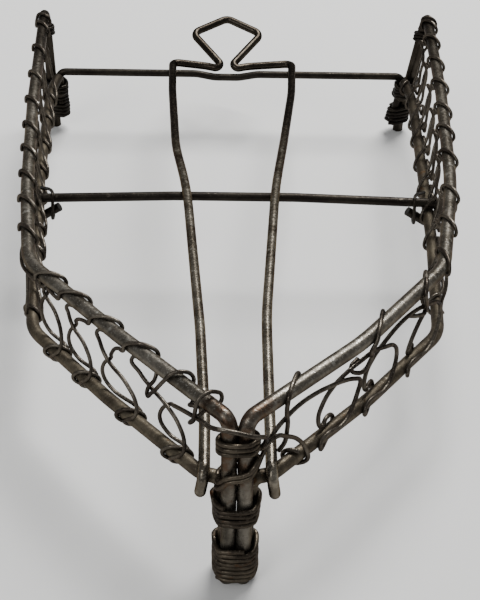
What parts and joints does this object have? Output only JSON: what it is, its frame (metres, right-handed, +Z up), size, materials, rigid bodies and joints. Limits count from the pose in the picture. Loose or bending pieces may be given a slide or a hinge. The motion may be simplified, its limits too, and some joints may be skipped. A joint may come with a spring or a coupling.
{
  "type": "flat iron stand",
  "caption": "Three-legged laced-wire stand for a hot flat iron, pointed at the front, with fence rails, crossbars, twin runners and a hanging loop at the back.",
  "frame": {"origin": "centre of the bounding box at floor level", "axes": "+X to the right seen from the pointed front, +Y from the point towards the hanging loop, +Z up"},
  "size_m": [0.1149, 0.1978, 0.0429],
  "materials": {
    "rail_wire": "aged steel wire with a grey-brown patina, worn paler on top",
    "crossbar_wire": "steel wire darkened almost black by heat, with rust specks",
    "runner_wire": "steel wire, dark at the back and rubbed bright along the top towards the front",
    "lacing_wire": "thin dark iron wire with a dull brown sheen",
    "binding_wire": "iron binding wire with a dull brown-grey sheen"
  },
  "bodies": {
    "root": {"back_crossbar": "crossbar_wire", "front_crossing_strand": "lacing_wire", "front_leg_band": "lacing_wire", "front_leg_binding_lower": "binding_wire", "front_leg_binding_middle": "binding_wire", "front_leg_binding_upper": "binding_wire", "lacing_front_left": "lacing_wire", "lacing_front_right": "lacing_wire", "lacing_side_left": "lacing_wire", "lacing_side_right": "lacing_wire", "lower_rail_left": "rail_wire", "lower_rail_right": "rail_wire", "mid_crossbar": "crossbar_wire", "mid_crossbar_tie_left": "lacing_wire", "mid_crossbar_tie_right": "lacing_wire", "rear_left_binding_lower": "binding_wire", "rear_left_binding_middle": "binding_wire", "rear_left_binding_upper": "binding_wire", "rear_left_top_tie": "lacing_wire", "rear_right_binding_lower": "binding_wire", "rear_right_binding_upper": "binding_wire", "rear_right_top_tie": "lacing_wire", "runners_and_hanging_loop": "runner_wire", "top_rail_left": "rail_wire", "top_rail_right": "rail_wire"}
  },
  "joints": []
}
